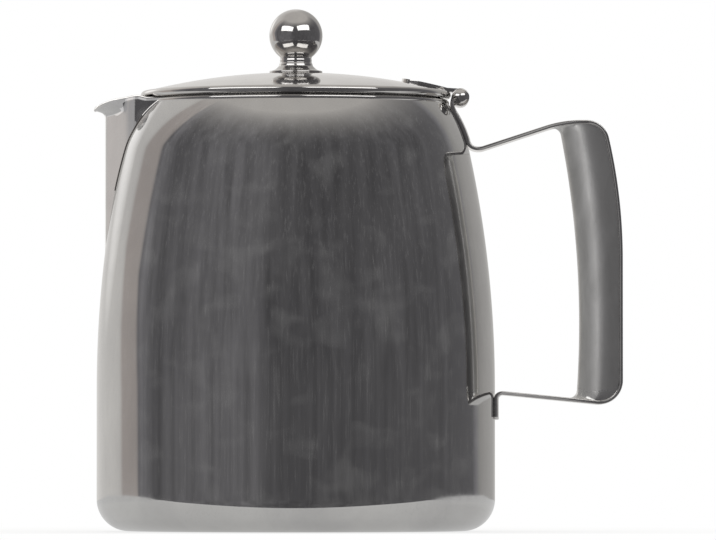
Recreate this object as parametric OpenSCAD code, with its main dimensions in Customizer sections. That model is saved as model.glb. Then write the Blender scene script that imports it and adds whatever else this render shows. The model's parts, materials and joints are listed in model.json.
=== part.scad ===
// Hot water jug with a hinged lid, a folded spout and a strap handle.
// Millimetres, Z up. The jug stands on z = 0 with its axis on Z.
// The spout points to -X, the handle to +X, and Y = 0 is its plane of symmetry.

/* [Body] */
// Outside radius of the straight lower wall
body_r = 62.5; // [61:0.5:64]
// Outside radius of the corner at the base
base_corner_r = 10; // [6:0.5:14]
// Height where the wall starts to lean in
straight_h = 45; // [43:0.5:47]
// Radius of the long curve of the belly
belly_r = 348; // [338:2:358]
// Turn of the belly curve in degrees
belly_turn = 12.3; // [12:0.1:12.6]
// Radius of the shoulder curve under the mouth
shoulder_r = 40; // [37:0.5:43]
// Height of the top of the mouth
mouth_z = 135.2; // [134:0.2:136.4]
// Thickness of the body's sheet
wall = 0.9; // [0.7:0.1:1.2]
// Radius of the bead rolled round the mouth
mouth_bead_r = 0.9; // [0.7:0.1:1.1]

/* [Spout] */
// Reach of the upright fold past the wall of the mouth
keel_x = 12.24; // [11.3:0.02:13.3]
// Height where the fold comes out of the belly
keel_foot_z = 87.5; // [80:0.5:95]
// Radius of the fold, outside
keel_r = 4; // [3:0.5:5]
// Half width of the spout where it runs into the body
spout_half_w = 24.1; // [23:0.1:25]
// Height where the fold starts to bend out into the beak
beak_z = 129.4; // [127:0.2:130]
// Outside radius of that bend
beak_bend_r = 2; // [1.5:0.25:3]
// Rise of the beak's underside in degrees
beak_rise = 17; // [12:1:24]
// Radius of the pouring lip's fall towards the tip, seen from the side
lip_fall_r = 17; // [15:0.5:20]
// Depth of the opening that is cut in the body behind the spout
channel_depth = 35; // [25:1:38]

/* [Lid] */
// Outside radius of the lid's rolled edge
lid_r = 48.7; // [48:0.1:49.4]
// Reach of the lid's edge past the wall of the mouth
lid_lap = 1.04; // [0.6:0.02:1.6]
// Rise of the dome's edge above the top of the mouth
dome_rise = 2.58; // [2:0.02:3.2]
// Radius of the dome
dome_r = 190; // [180:1:200]
// Thickness of the lid's sheet
lid_t = 0.8; // [0.6:0.1:1]
// Radius of the lid's rolled edge in section
lid_bead_r = 1.25; // [1.1:0.05:1.4]
// Gap between the closed lid and the mouth
lid_seat_gap = 0.3; // [0.2:0.05:0.5]
// Depth of the locating collar below the top of the mouth
collar_drop = 6.5; // [4:0.5:9]
// Room between the collar and the mouth all round
collar_gap = 1; // [0.8:0.1:1.5]

/* [Knob] */
// Radius of the ball
ball_r = 8.35; // [7:0.05:9.5]
// Height of the ball's centre above the top of the dome
ball_h = 11.7; // [11:0.1:13]
// Radius of the neck at its narrowest
neck_r = 5; // [4.2:0.1:5.4]
// Radius of the skirt that stands on the lid
skirt_r = 8.3; // [7.8:0.1:9.5]
// Radius of the fixing screw's shank
screw_r = 2; // [1.5:0.25:2.5]
// Length of the screw inside the knob
screw_grip = 8; // [6:0.5:10]
// Radius of the washer under the lid
washer_r = 7; // [6:0.5:9]
// Thickness of the washer at its middle
washer_t = 1; // [0.8:0.1:1.4]

/* [Hinge] */
// Radius of the hinge pin
pin_r = 1.1; // [0.9:0.05:1.25]
// Radial running clearance of the lid's knuckle on the pin
pin_clear = 0.05; // [0.02:0.01:0.1]
// Outside radius of the knuckles
knuckle_r = 2.45; // [2.3:0.05:2.6]
// Gap between the lid's edge and the fixed knuckles
knuckle_gap = 0.45; // [0.35:0.05:0.7]
// Height of the pin above the top of the mouth
pin_rise = 0.7; // [0.4:0.1:1]
// Width of the lid's knuckle between the two fixed ones
lid_knuckle_w = 8.4; // [6:0.2:9]
// Gap at each side of the lid's knuckle
side_gap = 0.3; // [0.2:0.05:0.5]
// Radius of the domed pin heads
head_r = 2.5; // [2.2:0.1:2.8]
// Height of the domed pin heads
head_h = 1.5; // [1:0.1:2]
// Width of the tongue on the lid
tongue_w = 12; // [10:0.5:14]
// Length of the tongue from its tip to the hinge pin
tongue_l = 18.3; // [16:0.1:22]
// Thickness of the tongue
tongue_t = 1.2; // [1:0.05:1.3]

/* [Handle] */
// Width of the handle strap
strap_w = 16; // [14:0.5:18]
// Thickness of the handle strap
strap_t = 1.2; // [1:0.05:1.4]
// Distance of the strap's spine from the jug's axis
spine_x = 101.8; // [99:0.2:106]
// Height of the top of the handle
handle_top_z = 128.1; // [127:0.1:129]
// Height where the upper arm leaves the shoulder
upper_bend_z = 118.8; // [117.5:0.1:119.5]
// Rise of the upper arm in degrees
arm_rise = 18; // [17:0.5:19]
// Share of the way to the spine at which the upper arm levels out
arm_share = 0.696; // [0.6:0.002:0.75]
// Lean of the upper spine in degrees
spine_lean = 12.9; // [11:0.1:14]
// Height where the leaning and the upright spine would meet
lean_z = 104.2; // [100:0.2:107]
// Height where the lower arm meets the body
lower_bend_z = 43.4; // [41:0.2:46]
// Fall of the lower arm towards the grip in degrees
arm_fall = 5.7; // [4:0.1:7]
// Height of the end of the lower tab
lower_tab_z = 34.9; // [30:0.1:36]
// Bend radius where the upper arm leaves the shoulder
upper_bend_r = 3.5; // [3:0.25:4]
// Bend radius where the upper arm runs level over the grip
arm_bend_r = 36; // [28:1:38]
// Bend radius at the top of the spine
top_corner_r = 6.5; // [5:0.25:7]
// Bend radius along the spine
spine_bend_r = 168; // [150:1:170]
// Bend radius at the bottom of the spine
bottom_corner_r = 6.8; // [5:0.2:8]
// Bend radius at the lower tab
lower_bend_r = 2; // [1.5:0.25:2.5]

/* [Grip] */
// Half width of the hollow grip
grip_half_w = 7.2; // [6:0.1:7.5]
// Depth of the grip in front of the spine at its slimmest
grip_depth = 12.3; // [11:0.1:14]
// Height where the grip is slimmest
grip_waist_z = 65; // [60:1:72]
// Radius of the grip's rounded front along its length
grip_sweep_r = 310; // [260:5:380]
// Thickness of the grip's sheet
grip_t = 1; // [0.8:0.1:1.4]

/* [Hidden] */
$fn = 96;
over = 1;

// Body profile: corner, straight wall, belly and shoulder follow one another without a kink.
bead_z = mouth_z - mouth_bead_r;
corner_c = [body_r - base_corner_r, base_corner_r];
belly_c = [body_r - belly_r, straight_h];
belly_end = belly_c + belly_r * dir(belly_turn);
shoulder_c = belly_end - shoulder_r * dir(belly_turn);
mouth_turn = asin((bead_z - shoulder_c.y) / shoulder_r);
// The lid sets the mouth: belly and shoulder lean by what is left between its edge and the curves.
mouth_r = lid_r - lid_lap;
lean = mouth_r - shoulder_c.x - shoulder_r * cos(mouth_turn);
bead_c = [mouth_r - wall / 2, bead_z];
mouth_clear_r = bead_c.x - mouth_bead_r;

// Spout: the root lies inside the body, so that the body trims the spout's walls.
root_in = 7.66;
root_x = mouth_r - root_in;
keel_out = mouth_r + keel_x;
keel_slope = (keel_out - body_x(keel_foot_z)) / (beak_z - keel_foot_z);
keel_lap = 12;
nose_way = [keel_out - keel_r - root_x, spout_half_w];
spout_lean = atan2(nose_way.y, nose_way.x) - asin(keel_r / norm(nose_way));
lip_z = mouth_z;
lip_level = 6.4;
lip_start_x = keel_out - lip_level;
lip_run = lip_fall_r * 0.765;

// Lid, collar and knob sit on one sphere, which ends over the middle of the lid's rolled edge.
lid_bead_c = [lid_r - lid_bead_r, mouth_z + lid_seat_gap + lid_bead_r];
dome_edge_z = mouth_z + dome_rise;
dome_z = dome_edge_z - sqrt(dome_r * dome_r - lid_bead_c.x * lid_bead_c.x);
dome_top_z = dome_z + dome_r;
dome_fn = 1440;
collar_r = mouth_clear_r - collar_gap;
ball_z = dome_top_z + ball_h;
cove_r = skirt_r - neck_r;
skirt_edge = 0.6;
screw_room = 0.2;
screw_head_r = 3.6;
screw_head_h = 2.2;
slot_w = 1;
slot_d = 1.1;
washer_z = dome_top_z - lid_t - washer_t;

// Hinge: the pin stands clear of the lid's edge by the radius of the knuckles.
pin_x = lid_r + knuckle_gap + knuckle_r;
pin_z = mouth_z + pin_rise;
pin_half = strap_w / 2;
head_ball_r = (head_r * head_r + head_h * head_h) / (2 * head_h);
fixed_from = lid_knuckle_w / 2 + side_gap;

// Handle: corner points of the strap's middle line, from the shoulder round to the lower tab.
tab_drop = 3.7;
tab_top_z = mouth_z - tab_drop;
tab_lap = 5;
upper_corner = [body_x(upper_bend_z) + strap_t / 2, upper_bend_z];
lean_corner = [spine_x, lean_z];
top_corner = [spine_x - (handle_top_z - lean_z) * tan(spine_lean), handle_top_z];
arm_run = arm_share * (top_corner.x - upper_corner.x);
arm_corner = upper_corner + [arm_run, arm_run * tan(arm_rise)];
lower_corner = [body_r + strap_t / 2, lower_bend_z];
bottom_corner = [spine_x, lower_bend_z - (spine_x - lower_corner.x) * tan(arm_fall)];
strap_start = [body_x(upper_bend_z + tab_lap) + strap_t / 2, upper_bend_z + tab_lap];
strap_end = [lower_corner.x, lower_bend_z - lower_bend_r * 1.6];
tab_steps = 14;
strap_line = concat([strap_start],
    bend(strap_start, upper_corner, arm_corner, upper_bend_r, tab_steps, [0.9, 0.3]),
    bend(upper_corner, arm_corner, top_corner, arm_bend_r, 8, [0.7, 0.54]),
    bend(arm_corner, top_corner, lean_corner, top_corner_r, 12, [0.46, 0.225]),
    bend(top_corner, lean_corner, bottom_corner, spine_bend_r, 8, [0.775, 0.6]),
    bend(lean_corner, bottom_corner, lower_corner, bottom_corner_r, 14, [0.4, 0.7]),
    bend(bottom_corner, lower_corner, strap_end, lower_bend_r, tab_steps, [0.3, 0.9]),
    [strap_end]);
strap_inside = beside(strap_line, -strap_t / 2);
strap_outside = beside(strap_line, strap_t / 2);

// Grip: its front is a torus round a far centre on the body's side.
grip_front_x = spine_x - strap_t / 2 - grip_depth;
grip_c = [grip_front_x - grip_sweep_r, 0, grip_waist_z];

// Unit vector at an angle.
function dir(a) = [cos(a), sin(a)];
// Vector scaled to unit length.
function unit(v) = v / norm(v);
// Points of an arc, both ends included.
function arc(c, r, from, to, n) = [for (i = [0 : n]) c + r * dir(from + (to - from) * i / n)];
// List in reverse order.
function back(list) = [for (i = [len(list) - 1 : -1 : 0]) list[i]];
// Angle folded into -180 to 180 degrees.
function fold(a) = a > 180 ? a - 360 : a < -180 ? a + 360 : a;

// Arc of radius r that rounds the corner b between a and c. It takes no more than its share of
// the straight before and after the corner.
function bend(a, b, c, r, n, share) =
    let (u = unit(a - b),
         v = unit(c - b),
         half = acos(u * v) / 2,
         room = min(share[0] * norm(a - b), share[1] * norm(c - b)),
         s = min(r, room * tan(half)),
         m = b + unit(u + v) * s / sin(half),
         p = b + u * s / tan(half) - m,
         q = b + v * s / tan(half) - m,
         from = atan2(p.y, p.x),
         turn = fold(atan2(q.y, q.x) - from))
    arc(m, s, from, from + turn, n);

// Normal on the left of the step from one point of a line to the next.
function left(line, i) =
    let (s = unit(line[min(i + 1, len(line) - 1)] - line[min(i, len(line) - 2)]))
    [-s.y, s.x];

// Line at a constant distance to the left of another one.
function beside(line, d) = [for (i = [0 : len(line) - 1])
    let (m = left(line, max(i - 1, 0)),
         n = left(line, i),
         s = unit(m + n))
    line[i] + s * d / (s * n)];

// Part of the lean that is reached at a height between the straight wall and the mouth.
function ease(z) =
    let (t = max(0, min(1, (z - straight_h) / (bead_z - straight_h))))
    t * t * (3 - 2 * t);

// Outside profile of the body, moved out by d.
function profile(d) = concat(
    arc(corner_c, base_corner_r + d, -90, 0, 12),
    [for (p = concat(
        arc(belly_c, belly_r + d, 0, belly_turn, 14),
        [for (q = arc(shoulder_c, shoulder_r + d, belly_turn, mouth_turn, 12))
            if (q.y > (belly_c + (belly_r + d) * dir(belly_turn)).y + 0.01) q]))
        p + [lean * ease(p.y), 0]]);

// Outside radius of the body at a height on the belly or the shoulder.
function body_x(z) = lean * ease(z) + (z < belly_end.y
    ? belly_c.x + sqrt(belly_r * belly_r - pow(z - belly_c.y, 2))
    : shoulder_c.x + sqrt(shoulder_r * shoulder_r - pow(z - shoulder_c.y, 2)));

// Height of the underside of the lid's dome at a distance from the axis.
function under_dome(r) = dome_z + sqrt(pow(dome_r - lid_t, 2) - r * r);

// Side line of the spout's fold, at a depth t inside its outer face: distance out and height.
function keel_line(t) =
    let (m = [keel_out + beak_bend_r, beak_z],
         curve = arc(m, beak_bend_r + t, 180, 90 + beak_rise, 8),
         climb = lip_z + over + t - curve[8].y,
         low_z = keel_foot_z - keel_lap - t)
    concat([[keel_out - t - keel_slope * (beak_z - low_z), low_z]],
        curve,
        [curve[8] + [climb / tan(beak_rise), climb]]);

// Level section of the spout for a fold at distance p.x: a wedge with a rounded nose.
function wedge(p, t) =
    let (r = keel_r - t,
         root = [root_x - t * sin(spout_lean), spout_half_w - t * cos(spout_lean)],
         nose = [p.x - r, 0],
         to_nose = nose - root,
         half = atan2(-to_nose.y, to_nose.x) - asin(r / norm(to_nose)),
         curve = arc(nose, r, 90 - half, half - 90, 12))
    [for (q = concat([root], curve, [[root.x, -root.y]])) [-q.x, q.y, p.y]];

// Solid through a stack of level rings that all have the same number of points.
module loft(rings) {
    k = len(rings[0]);
    top = len(rings) - 1;
    sides = [for (i = [0 : top - 1], j = [0 : k - 1])
        let (a = i * k + j, b = i * k + (j + 1) % k)
        each [[a, a + k, b + k], [a, b + k, b]]];
    base = [for (j = [0 : k - 1]) j];
    lid_face = [for (j = [k - 1 : -1 : 0]) top * k + j];
    polyhedron(points = [for (ring = rings) each ring], faces = concat(sides, [base], [lid_face]));
}

// Plate drawn from the side and given a width along Y.
module side_plate(points, w) {
    rotate([90, 0, 0])
        linear_extrude(height = w, center = true)
            polygon(points);
}

// Cylinder along Y between two distances from the plane of symmetry.
module cross_bar(r, from, to) {
    translate([pin_x, from, pin_z])
        rotate([-90, 0, 0])
            cylinder(r = r, h = to - from);
}

// Solid of the body's outside shape, moved out by d.
module body_mass(d) {
    points = profile(d);
    rotate_extrude()
        polygon(concat([[0, -d]], points, [[0, points[len(points) - 1].y]]));
}

module mouth_bead() {
    rotate_extrude()
        translate(bead_c)
            circle(r = mouth_bead_r);
}

// Space inside the spout.
module spout_channel() {
    loft([for (p = keel_line(wall)) wedge(p, wall)]);
}

// Everything above the pouring lip.
module above_lip() {
    fall = asin(lip_run / lip_fall_r);
    curve = arc([-lip_start_x, lip_z - lip_fall_r], lip_fall_r, 90, 90 + fall, 14);
    far = curve[14] - [lip_fall_r, 0];
    top_z = lip_z + 2 * over;
    side_plate(concat([[-root_x + root_in, lip_z]], curve,
        [far, [far.x, top_z], [-root_x + root_in, top_z]]), 2 * (spout_half_w + over));
}

// Drawn bell with a flat base, a bead rolled round the mouth and an opening behind the spout.
module body() {
    color("silver")
    difference() {
        union() {
            rotate_extrude()
                polygon(concat([[0, 0]], profile(0), back(profile(-wall)), [[0, wall]]));
            mouth_bead();
        }
        intersection() {
            spout_channel();
            translate([-2 * body_r, -body_r, mouth_z - channel_depth])
                cube([2 * body_r, 2 * body_r, channel_depth + 2 * over]);
        }
    }
}

// Spout folded from sheet to an upright edge that bends out into a pouring beak.
module spout() {
    color("silver")
    difference() {
        loft([for (p = keel_line(0)) wedge(p, 0)]);
        spout_channel();
        body_mass(0);
        translate([0, 0, bead_z - mouth_bead_r])
            cylinder(r = bead_c.x + mouth_bead_r, h = 2 * mouth_bead_r + 2 * over);
        above_lip();
    }
}

// Sheet that lies on the body between two heights.
module body_tab(low, high) {
    intersection() {
        body_mass(strap_t);
        translate([0, -strap_w / 2, low])
            cube([body_r + 2 * strap_t, strap_w, high - low]);
    }
}

// Rolled end of the strap round the pin, on one side, with the neck that joins it to the tab.
module fixed_knuckle() {
    foot_z = tab_top_z - 1.25 * strap_t;
    foot_x = body_x(tab_top_z);
    cross_bar(knuckle_r, fixed_from, pin_half);
    translate([0, (fixed_from + pin_half) / 2, 0])
        side_plate([[foot_x - strap_t / 3, foot_z], [body_x(foot_z) + strap_t, foot_z],
            [foot_x + 1.5 * strap_t, tab_top_z], [pin_x + strap_t / 6, pin_z - 0.88 * knuckle_r],
            [pin_x - 0.8 * knuckle_r, pin_z - strap_t / 2], [foot_x + strap_t / 6, tab_top_z + strap_t / 2]],
            pin_half - fixed_from);
}

// One strap: hinge knuckles, upper tab, arm, spine, lower arm and lower tab.
module handle_strap() {
    color("lightgray")
    difference() {
        union() {
            side_plate(concat(strap_outside, back(strap_inside)), strap_w);
            body_tab(upper_bend_z + tab_lap / 2.5, tab_top_z);
            body_tab(lower_tab_z, lower_bend_z - lower_bend_r);
            fixed_knuckle();
            mirror([0, 1, 0])
                fixed_knuckle();
        }
        body_mass(0);
        mouth_bead();
        cross_bar(pin_r, -pin_half - over, pin_half + over);
    }
}

// Half section of the grip's hollow, with its rounded front towards the body.
module grip_section(t) {
    r = grip_half_w - t;
    translate([grip_sweep_r + grip_half_w, 0]) {
        circle(r = r);
        translate([0, -r])
            square([2 * grip_depth, 2 * r]);
    }
}

// Hollow pressed grip, welded to the strap along its edges and ends.
module grip_shell() {
    between_tabs = [for (i = [tab_steps + 1 : len(strap_inside) - tab_steps - 2]) strap_inside[i]];
    color("gray")
    intersection() {
        translate(grip_c)
            rotate([90, 0, 0])
                rotate_extrude()
                    difference() {
                        grip_section(0);
                        grip_section(grip_t);
                    }
        side_plate(between_tabs, 4 * grip_half_w);
    }
}

// Pin with a domed head at each end.
module hinge_pin() {
    color("dimgray")
    union() {
        cross_bar(pin_r, -pin_half, pin_half);
        pin_head();
        mirror([0, 1, 0])
            pin_head();
    }
}

module pin_head() {
    intersection() {
        translate([pin_x, pin_half + head_h - head_ball_r, pin_z])
            rotate([-90, 0, 0])
                sphere(r = head_ball_r);
        cross_bar(head_ball_r + over, pin_half, pin_half + head_h + over);
    }
}

// Side view of the dome's sphere, moved out by d.
module dome_disc(d) {
    translate([0, dome_z])
        circle(r = dome_r + d, $fn = dome_fn);
}

// Solid under the dome, moved out by d.
module dome(d) {
    rotate_extrude()
        intersection() {
            dome_disc(d);
            square([lid_r + over, dome_top_z + 2 * (d + over)]);
        }
}

// Rolled edge of the lid in section.
module lid_edge() {
    translate(lid_bead_c)
        circle(r = lid_bead_r);
}

// Shallow dome that turns down into a rolled edge.
module lid() {
    color("lightgray")
    difference() {
        rotate_extrude() {
            intersection() {
                difference() {
                    dome_disc(0);
                    dome_disc(-lid_t);
                }
                square([lid_bead_c.x, dome_top_z + over]);
            }
            translate([lid_bead_c.x - lid_t, lid_bead_c.y])
                square([lid_t, dome_edge_z - lid_t / 2 - lid_bead_c.y]);
            lid_edge();
        }
        translate([0, 0, dome_top_z - lid_t - over])
            cylinder(r = screw_r + screw_room, h = lid_t + 2 * over);
    }
}

// Ring under the lid that finds the mouth.
module lid_collar() {
    color("silver")
    intersection() {
        translate([0, 0, mouth_z - collar_drop])
            difference() {
                cylinder(r = collar_r, h = dome_top_z - mouth_z + collar_drop);
                translate([0, 0, -over])
                    cylinder(r = collar_r - lid_t, h = dome_top_z - mouth_z + collar_drop + 2 * over);
            }
        dome(-lid_t);
    }
}

// Outline of the tongue from above.
module tongue_outline() {
    tip_x = pin_x - tongue_l;
    half = tongue_w / 2;
    taper_x = lid_bead_c.x - tongue_w / 3;
    translate([tip_x + half, 0])
        circle(r = half);
    polygon([[tip_x + half, -half], [taper_x, -half], [lid_bead_c.x, -lid_knuckle_w / 2],
        [lid_bead_c.x, lid_knuckle_w / 2], [taper_x, half], [tip_x + half, half]]);
}

// Tongue that lies on the dome and rolls round the pin.
module lid_tongue() {
    slope = asin(lid_bead_c.x / dome_r);
    edge = [lid_bead_c.x, dome_edge_z];
    top_side = [pin_x, pin_z] + knuckle_r * dir(90 - slope);
    low_side = [pin_x, pin_z] + (knuckle_r - tongue_t) * dir(90 - slope);
    color("lightgray")
    difference() {
        union() {
            intersection() {
                difference() {
                    dome(tongue_t);
                    dome(0);
                }
                translate([0, 0, mouth_z])
                    linear_extrude(height = dome_top_z - mouth_z + 2 * tongue_t)
                        tongue_outline();
            }
            side_plate([[edge.x - 1.25 * tongue_t, edge.y + 0.8 * tongue_t],
                [edge.x - 0.8 * tongue_t, edge.y + tongue_t], top_side,
                [pin_x, pin_z], low_side, [edge.x, edge.y + tongue_t / 3]], lid_knuckle_w);
            cross_bar(knuckle_r, -lid_knuckle_w / 2, lid_knuckle_w / 2);
        }
        rotate_extrude()
            lid_edge();
        cross_bar(pin_r + pin_clear, -pin_half, pin_half);
    }
}

// Turned knob: a ball on a coved neck and skirt.
module knob() {
    foot = dome_top_z - over;
    cove_z = dome_top_z + skirt_edge + cove_r;
    color("silver")
    difference() {
        rotate_extrude()
            intersection() {
                union() {
                    translate([0, ball_z])
                        circle(r = ball_r);
                    difference() {
                        translate([0, foot])
                            square([skirt_r, ball_z - foot - ball_r / 2]);
                        translate([neck_r + cove_r, cove_z])
                            circle(r = cove_r);
                        translate([neck_r, cove_z])
                            square([skirt_r, ball_r * 2]);
                    }
                }
                translate([0, foot])
                    square([skirt_r + ball_r, 3 * ball_r + ball_h]);
            }
        dome(0);
        translate([0, 0, foot])
            cylinder(r = screw_r, h = over + screw_grip + over);
    }
}

// Washer that spreads the screw's pull under the dome.
module knob_washer() {
    bore_r = screw_r + screw_room;
    color("gray")
    rotate_extrude()
        polygon([[bore_r, washer_z], [washer_r, washer_z],
            [washer_r, under_dome(washer_r)], [bore_r, under_dome(bore_r)]]);
}

// Slotted screw from inside the lid into the knob.
module knob_screw() {
    color("dimgray")
    difference() {
        union() {
            translate([0, 0, washer_z - screw_head_h])
                cylinder(r = screw_head_r, h = screw_head_h);
            translate([0, 0, washer_z - over])
                cylinder(r = screw_r, h = over + washer_t + lid_t + screw_grip);
        }
        translate([-screw_head_r - over, -slot_w / 2, washer_z - screw_head_h - over])
            cube([2 * (screw_head_r + over), slot_w, slot_d + over]);
    }
}

body();
spout();
handle_strap();
grip_shell();
hinge_pin();
lid();
lid_collar();
lid_tongue();
knob();
knob_washer();
knob_screw();
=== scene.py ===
"""Hot water jug: the dressed model and its stage, laid out as an add-on and run as a script."""

import json
import math

import bmesh
import bpy
from mathutils import Matrix, Vector


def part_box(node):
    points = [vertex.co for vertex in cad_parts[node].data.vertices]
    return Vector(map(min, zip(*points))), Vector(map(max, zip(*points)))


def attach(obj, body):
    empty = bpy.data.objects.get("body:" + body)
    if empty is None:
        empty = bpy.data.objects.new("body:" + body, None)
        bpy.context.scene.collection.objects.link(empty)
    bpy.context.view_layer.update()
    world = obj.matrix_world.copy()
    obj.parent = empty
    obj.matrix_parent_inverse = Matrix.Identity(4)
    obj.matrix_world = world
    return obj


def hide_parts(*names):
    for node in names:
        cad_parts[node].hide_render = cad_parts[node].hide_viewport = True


bl_info = {
    "name": "Hot Water Jug",
    "version": (1, 0, 0),
    "blender": (4, 5, 0),
    "location": "View3D > Sidebar > Jug",
    "description": "Builds a polished steel hot water jug and the stage that it is shown on",
    "category": "Object",
}

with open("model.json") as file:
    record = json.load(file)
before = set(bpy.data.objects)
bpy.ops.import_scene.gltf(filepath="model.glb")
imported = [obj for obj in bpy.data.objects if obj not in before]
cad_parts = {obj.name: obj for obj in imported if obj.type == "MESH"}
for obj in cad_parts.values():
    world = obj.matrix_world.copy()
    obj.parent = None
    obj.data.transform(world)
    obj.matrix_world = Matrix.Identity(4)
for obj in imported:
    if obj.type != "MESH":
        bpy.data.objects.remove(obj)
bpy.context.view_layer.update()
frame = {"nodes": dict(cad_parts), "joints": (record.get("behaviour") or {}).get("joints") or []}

MM = 0.001
PIN = Vector(frame["joints"][0]["pos_m"]) / MM
BODY_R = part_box("body")[1].y / MM
STRAP_HALF_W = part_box("handle_strap")[1].y / MM

# Points closer than this, in millimetres, are merged.
SEAM = 0.002
# Slack of a comparison, and the least length that anything is divided by.
TINY, LEAST = 1e-6, 1e-9
# Steps round the large turned pieces.
ROUND = 288
# Front edge and height of the floor, in metres.
FLOOR_FRONT, FLOOR_Z = -0.076, -0.0002


# Sizes and colours


def length(name, default, description):
    """A length in millimetres."""
    return bpy.props.FloatProperty(name=name, description=description, default=default, min=0.0)


def angle(name, degrees, description):
    """An angle that is given in degrees and kept in radians."""
    return bpy.props.FloatProperty(
        name=name, description=description, default=math.radians(degrees), subtype="ANGLE"
    )


def ratio(name, default, low, high, description):
    """A plain number between two limits."""
    return bpy.props.FloatProperty(
        name=name, description=description, default=default, min=low, max=high
    )


def metres(name, default, description):
    """A length on the stage, in metres."""
    return bpy.props.FloatProperty(
        name=name, description=description, default=default, unit="LENGTH"
    )


def linear(code):
    """sRGB hex to linear RGB."""
    parts = [int(code[i : i + 2], 16) / 255 for i in (1, 3, 5)]
    return [c / 12.92 if c <= 0.04045 else ((c + 0.055) / 1.055) ** 2.4 for c in parts]


def colour(name, code, description):
    """A colour that is written as an sRGB hex value."""
    return bpy.props.FloatVectorProperty(
        name=name, description=description, default=linear(code), subtype="COLOR", min=0, max=1
    )


class JugBodySizes(bpy.types.PropertyGroup):
    """Sizes of the bell and its spout, in millimetres."""

    radius: length("Radius", BODY_R, "Outside radius of the straight lower wall")
    corner: length("Base corner", 10.0, "Radius of the corner at the base")
    straight: length("Straight height", 45.0, "Height where the wall starts to lean in")
    belly: length("Belly", 348.0, "Radius of the long curve of the belly")
    belly_turn: angle("Belly turn", 12.3, "Turn of the belly curve")
    shoulder: length("Shoulder", 40.0, "Radius of the shoulder curve")
    mouth_z: length("Mouth height", 135.2, "Height of the top of the mouth")
    mouth_r: length("Mouth radius", 47.66, "Outside radius of the wall at the mouth")
    bead: length("Bead", 0.9, "Radius of the bead round the mouth")
    wall: length("Wall", 0.9, "Thickness of the sheet")
    keel: length("Fold", 59.9, "Distance of the spout's fold from the axis")
    keel_r: length("Fold radius", 5.2, "Radius of the spout's fold")
    root_x: length("Root", 40.0, "Distance of the spout's root from the axis")
    root_w: length("Root half width", 24.1, "Half width of the spout at its root")
    beak_z: length("Beak height", 129.4, "Height where the fold bends out into the beak")
    beak_r: length("Beak bend", 2.0, "Radius of that bend")
    beak_w: length("Beak width", 14.0, "Reach of the beak along each side of the fold")
    beak_rise: angle("Beak rise", 17.0, "Rise of the beak's underside")
    lip_x: length("Lip", 53.5, "Distance from the axis where the lip starts to fall")
    lip_fall: length("Lip fall", 17.0, "Radius of the lip's fall towards the tip")
    lip_swell: length("Lip swell", 0.6, "Rise of the lip above the mouth")
    swell: length("Swell", 0.25, "How far the spout's wall stands out in its middle")
    crease_x: length("Crease", 50.5, "Distance from the axis of the crease in the spout's wall")
    crease_out: length("Crease height", 2.2, "How far the crease stands out of a flat wall")
    crease_r: length("Crease radius", 1.2, "Radius of the crease")
    weld: length("Weld", 0.26, "Radius of the weld between spout and body")
    weld_from: length("Weld start", 23.0, "Height above the spout's foot at which the weld shows")
    lip_bead: length("Lip bead", 0.42, "Radius of the bead along the lip")
    lip_turn: length("Lip turn", 5.5, "Depth below the mouth to which that bead turns down the seam")
    lip_roll: length("Lip flare", 0.12, "Outward flare along the edge of the lip")
    opening: length("Opening", 35.0, "Depth of the opening behind the spout")


class JugLidSizes(bpy.types.PropertyGroup):
    """Sizes of the lid, its tongue and the knob, in millimetres."""

    radius: length("Radius", 48.7, "Outside radius of the rolled edge")
    dome: length("Dome", 190.0, "Radius of the dome")
    top: length("Dome top", 143.8, "Height of the top of the dome")
    sheet: length("Sheet", 0.8, "Thickness of the lid")
    roll: length("Rolled edge", 1.25, "Radius of the rolled edge in section")
    seat: length("Seat gap", 0.3, "Gap between the closed lid and the mouth")
    collar_r: length("Collar", 45.31, "Outside radius of the locating collar")
    collar_drop: length("Collar drop", 6.5, "Depth of the collar below the mouth")
    tongue_w: length("Tongue width", 12.0, "Width of the tongue on the dome")
    tongue_l: length("Tongue length", 18.3, "Length of the tongue from tip to pin")
    tongue_t: length("Tongue sheet", 1.2, "Thickness of the tongue")
    knuckle_w: length("Knuckle", 8.4, "Width of the tongue's knuckle")
    ball: length("Ball", 8.35, "Radius of the knob's ball")
    ball_h: length("Ball height", 11.7, "Height of the ball's centre above the dome")
    neck: length("Neck", 5.0, "Radius of the knob's neck")
    skirt: length("Skirt", 8.3, "Radius of the knob's skirt")
    ring_depth: length("Turned rings", 0.1, "Depth of the rings turned in the neck")
    ring_pitch: length("Ring pitch", 1.15, "Spacing of those rings")


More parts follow.
